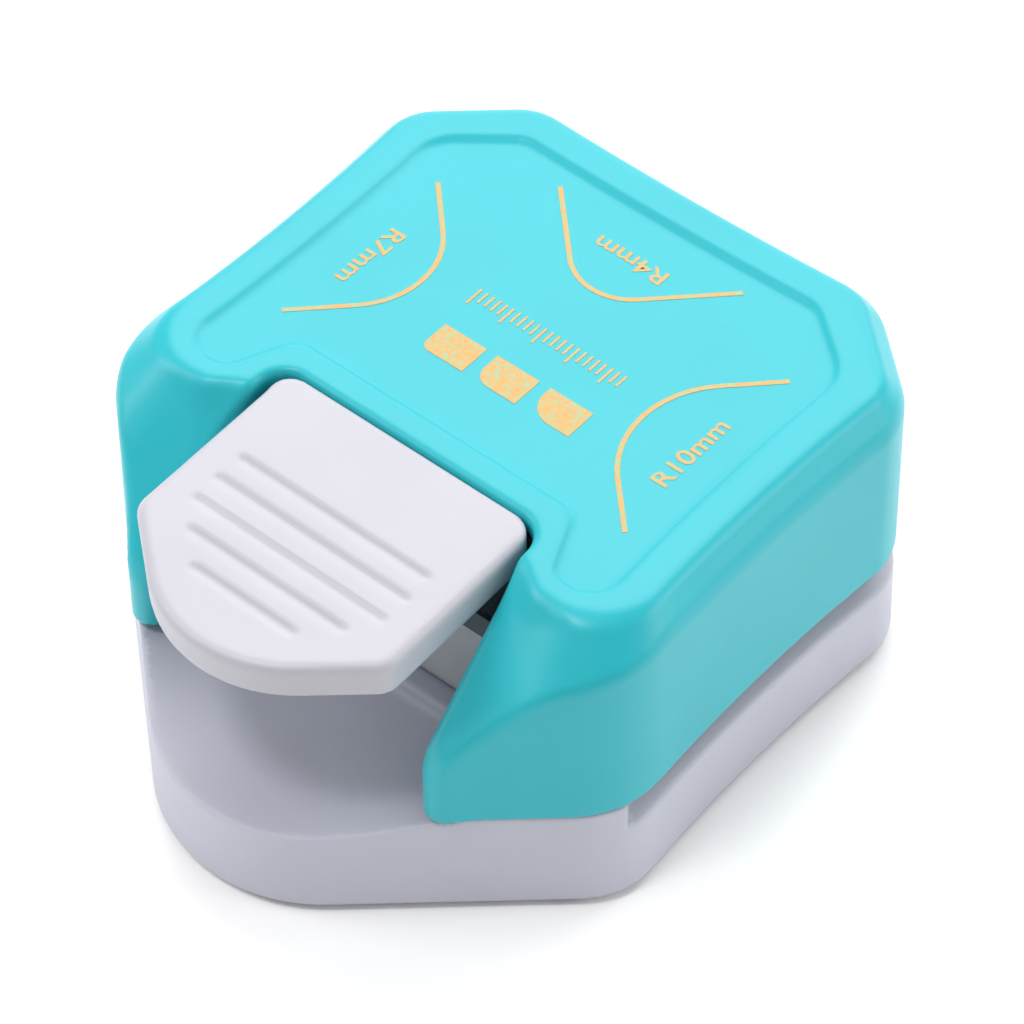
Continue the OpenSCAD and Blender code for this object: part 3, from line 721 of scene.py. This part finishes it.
FINISH = {
    "housing_plastic": material("housing_plastic", srgb(30, 170, 181), 0.36, grain=0.25, grain_size=0.6),
    "gold_foil": material("gold_foil", srgb(192, 149, 88), 0.5, metallic=0.25, grain=0.8, grain_size=0.5,
        fleck=srgb(146, 168, 132), fleck_size=0.5),
    "lever_plastic": material("lever_plastic", srgb(178, 177, 185), 0.4, grain=0.25, grain_size=0.6),
    "base_plastic": material("base_plastic", srgb(181, 182, 194), 0.42, grain=0.25, grain_size=0.6),
    # The guide frame's plastic is the base's white plastic made a little darker and greyer: painted shade
    # for the frame's walls inside, under the lever.
    "frame_plastic": material("frame_plastic", srgb(172, 174, 180), 0.5, grain=0.3),
    "cover_plastic": material("cover_plastic", srgb(205, 206, 216), 0.5, grain=0.5),
    "carrier_plastic": material("carrier_plastic", srgb(40, 41, 44), 0.55, grain=0.5),
    "plate_steel": material("plate_steel", srgb(190, 192, 196), 0.35, metallic=1.0, grain=0.2),
    "punch_steel": material("punch_steel", srgb(196, 198, 204), 0.25, metallic=1.0, grain=0.15),
    "ground_steel": material("ground_steel", srgb(204, 205, 210), 0.2, metallic=1.0, grain=0.1),
    "spring_steel": material("spring_steel", srgb(160, 162, 168), 0.3, metallic=1.0, grain=0.1),
    "screw_steel": material("screw_steel", srgb(186, 188, 192), 0.3, metallic=1.0, grain=0.1),
    "foot_rubber": material("foot_rubber", srgb(44, 44, 46), 0.8, grain=0.8),
}

# ------------------------------------------------------------------ printed marks

FOIL_T = (marks_high[2] - marks_low[2]) * MM
MARK_HEIGHT, CAPITAL_SHARE = 2.3, 0.69
MARK_BOLD = 0.05
# Each size mark: its text, the place of its middle, its turn in degrees, and its length.
SIZE_MARKS = [
    ("R10mm", 25.2, 10.6, 90, 12.1),
    ("R7mm", -23.9, 11.0, -90, 10.5),
    ("R4mm", 0.4, 30.3, 180, 10.4),
]
SHEET_X, SHEET_Y, SHEET_PITCH = -9.6, 3.6, 8.0
SHEET_W, SHEET_H, SHEET_RADII = 6.4, 4.6, (1.2, 2.2, 3.4)
TICKS, TICK_X, TICK_HW = 23, -10.0, 0.16
TICK_Y0, TICK_Y1, LONG_TICK, LONG_EVERY = 13.2, 15.2, 0.9, 5


def print_piece(piece):
    """The piece is printed on the housing in gold."""
    piece.data.materials.clear()
    piece.data.materials.append(FINISH["gold_foil"])
    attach(piece, "body")


def print_size(words, x, y, turn, length):
    """One size mark in plain letters, as a thin raised film on the panel."""
    text = bpy.data.curves.new(words, "FONT")
    text.body = words
    text.size = MARK_HEIGHT * MM / CAPITAL_SHARE
    text.align_x = "CENTER"
    text.align_y = "CENTER"
    text.extrude = FOIL_T / 2
    text.offset = MARK_BOLD * MM
    text.resolution_u = 4
    draft = bpy.data.objects.new("draft_" + words, text)
    bpy.context.scene.collection.objects.link(draft)
    bpy.context.view_layer.update()
    mesh = bpy.data.meshes.new_from_object(draft.evaluated_get(bpy.context.evaluated_depsgraph_get()))
    bpy.data.objects.remove(draft)
    width = max(v.co.x for v in mesh.vertices) - min(v.co.x for v in mesh.vertices)
    mesh.transform(Matrix.Diagonal((length * MM / width, 1, 1, 1)))
    piece = bpy.data.objects.new("size_mark_" + words, mesh)
    piece.location = (x * MM, y * MM, PANEL_Z * MM + FOIL_T / 2)
    piece.rotation_euler = (0, 0, math.radians(turn))
    bpy.context.scene.collection.objects.link(piece)
    bpy.context.view_layer.update()
    print_piece(piece)


def print_shapes(name, shapes):
    """Thin raised shapes on the panel, from flat outlines in millimetres."""
    points, faces = [], []
    z0, z1 = PANEL_Z * MM, PANEL_Z * MM + FOIL_T
    for shape in shapes:
        n, first = len(shape), len(points)
        points += [(x * MM, y * MM, z0) for x, y in shape] + [(x * MM, y * MM, z1) for x, y in shape]
        faces.append([first + n + k for k in range(n)])
        faces.append([first + n - 1 - k for k in range(n)])
        for k in range(n):
            after = (k + 1) % n
            faces.append([first + k, first + after, first + n + after, first + n + k])
    mesh = bpy.data.meshes.new(name)
    mesh.from_pydata(points, [], faces)
    mesh.update()
    piece = bpy.data.objects.new(name, mesh)
    bpy.context.scene.collection.objects.link(piece)
    print_piece(piece)


def bar(x0, x1, y0, y1):
    return [(x0, y0), (x1, y0), (x1, y1), (x0, y1)]


def rounded_sheet(x, y, width, height, radius):
    """A sheet of paper whose lower left corner has been rounded."""
    steps = 12
    arc = [(x + radius - radius * math.sin(math.pi / 2 * k / steps),
        y + radius - radius * math.cos(math.pi / 2 * k / steps)) for k in range(steps + 1)]
    return [(x + width, y), (x + width, y + height), (x, y + height)] + arc[::-1]


def print_icons():
    """Plain icons in the middle of the panel: three sheets with rounded corners, and a ruler."""
    sheets = [rounded_sheet(SHEET_X + SHEET_PITCH * k, SHEET_Y, SHEET_W, SHEET_H, radius)
        for k, radius in enumerate(SHEET_RADII)]
    ticks = []
    for k in range(TICKS):
        low_y = TICK_Y0 - (LONG_TICK if k % LONG_EVERY == 0 else 0)
        ticks.append(bar(TICK_X + k - TICK_HW, TICK_X + k + TICK_HW, low_y, TICK_Y1))
    print_shapes("sheet_icons", sheets)
    print_shapes("ruler_ticks", ticks)


for row in SIZE_MARKS:
    print_size(*row)
print_icons()

# ------------------------------------------------------------------ assembly

build_housing()
build_lever()
build_base()
for node in SPRINGS:
    build_spring(node)

REPLACED = {"upper_housing", "press_lever", "base_tray", *SPRINGS}
UNBEVELLED = {"corner_marks"}
BEVEL_W, BEVEL_ANGLE = 0.15, 40
for row in frame["record"]["subparts"]:
    node = frame["nodes"][row["node"]]
    if row["node"] in REPLACED:
        continue
    node.data.materials.clear()
    node.data.materials.append(FINISH[row["material_slot"]])
    if row["node"] not in UNBEVELLED:
        edge = node.modifiers.new("edge", "BEVEL")
        edge.width = BEVEL_W * MM
        edge.segments = 2
        edge.limit_method = "ANGLE"
        edge.angle_limit = math.radians(BEVEL_ANGLE)
        edge.harden_normals = False

# ------------------------------------------------------------------ floor, lights and camera

# Metres and watts. Each light has its place, its size and its power, and aims at the middle of the base.
FLOOR_SIZE = 6
WORLD_STRENGTH = 0.50
LIGHT_AIM = (0, 0, 0.02)
LIGHTS = [
    ("sheen", (-0.2, 0.5, 0.8), (1.15, 0.45), 6.9),
    ("back", (-0.4, 0.83, 0.4), (1.3, 0.4), 4.0),
    ("key", (-0.1, -0.34, 0.94), (0.16, 0.16), 2.6),
    ("side", (0.75, 0.5, 0.4), (0.5, 0.5), 2.9),
    ("left", (-0.65, -0.45, 0.6), (0.5, 0.5), 3.4),
]

# Azimuth, elevation and roll in degrees, fitted to the photo with the distance, target and lens.
CAMERA_ANGLES = (40.472, 48.627, -0.448)
CAMERA_DISTANCE = 0.46015
CAMERA_TARGET = (0.015264, -0.009256, PANEL_Z * MM + 0.00005)
CAMERA_LENS = 144.1


def make_floor():
    bpy.ops.mesh.primitive_plane_add(size=FLOOR_SIZE, location=(0, 0, 0))
    floor = bpy.context.object
    floor.name = "floor"
    floor.data.materials.append(material("floor", (0.95, 0.95, 0.95, 1), 0.9, mottle=0.0))


def soft_light(name, place, size, power):
    data = bpy.data.lights.new(name, "AREA")
    data.shape = "RECTANGLE"
    data.size, data.size_y = size
    data.energy = power
    lamp = bpy.data.objects.new(name, data)
    lamp.location = place
    lamp.rotation_euler = (Vector(LIGHT_AIM) - Vector(place)).to_track_quat("-Z", "Y").to_euler()
    bpy.context.scene.collection.objects.link(lamp)


def make_world(strength):
    world = bpy.data.worlds.new("studio")
    world.use_nodes = True
    world.node_tree.nodes["Background"].inputs["Color"].default_value = (1, 1, 1, 1)
    world.node_tree.nodes["Background"].inputs["Strength"].default_value = strength
    bpy.context.scene.world = world


def make_camera():
    """The camera looks down on the front right of the body from about 0.46 m."""
    azimuth, elevation, roll = (math.radians(angle) for angle in CAMERA_ANGLES)
    back = Vector((math.sin(azimuth) * math.cos(elevation), -math.cos(azimuth) * math.cos(elevation),
        math.sin(elevation)))
    right = Vector((math.cos(azimuth), math.sin(azimuth), 0))
    up = back.cross(right)
    rolled_right = right * math.cos(roll) + up * math.sin(roll)
    rolled_up = up * math.cos(roll) - right * math.sin(roll)
    data = bpy.data.cameras.new("camera")
    data.lens = CAMERA_LENS
    data.sensor_width = 36
    data.clip_start = 0.01
    camera = bpy.data.objects.new("camera", data)
    turn = Matrix((rolled_right, rolled_up, back)).transposed()
    place = Vector(CAMERA_TARGET) + back * CAMERA_DISTANCE
    camera.matrix_world = Matrix.Translation(place) @ turn.to_4x4()
    bpy.context.scene.collection.objects.link(camera)
    bpy.context.scene.camera = camera


make_floor()
make_world(WORLD_STRENGTH)
for row in LIGHTS:
    soft_light(*row)
make_camera()
bpy.context.scene.view_settings.view_transform = "Standard"

bpy.context.view_layer.update()
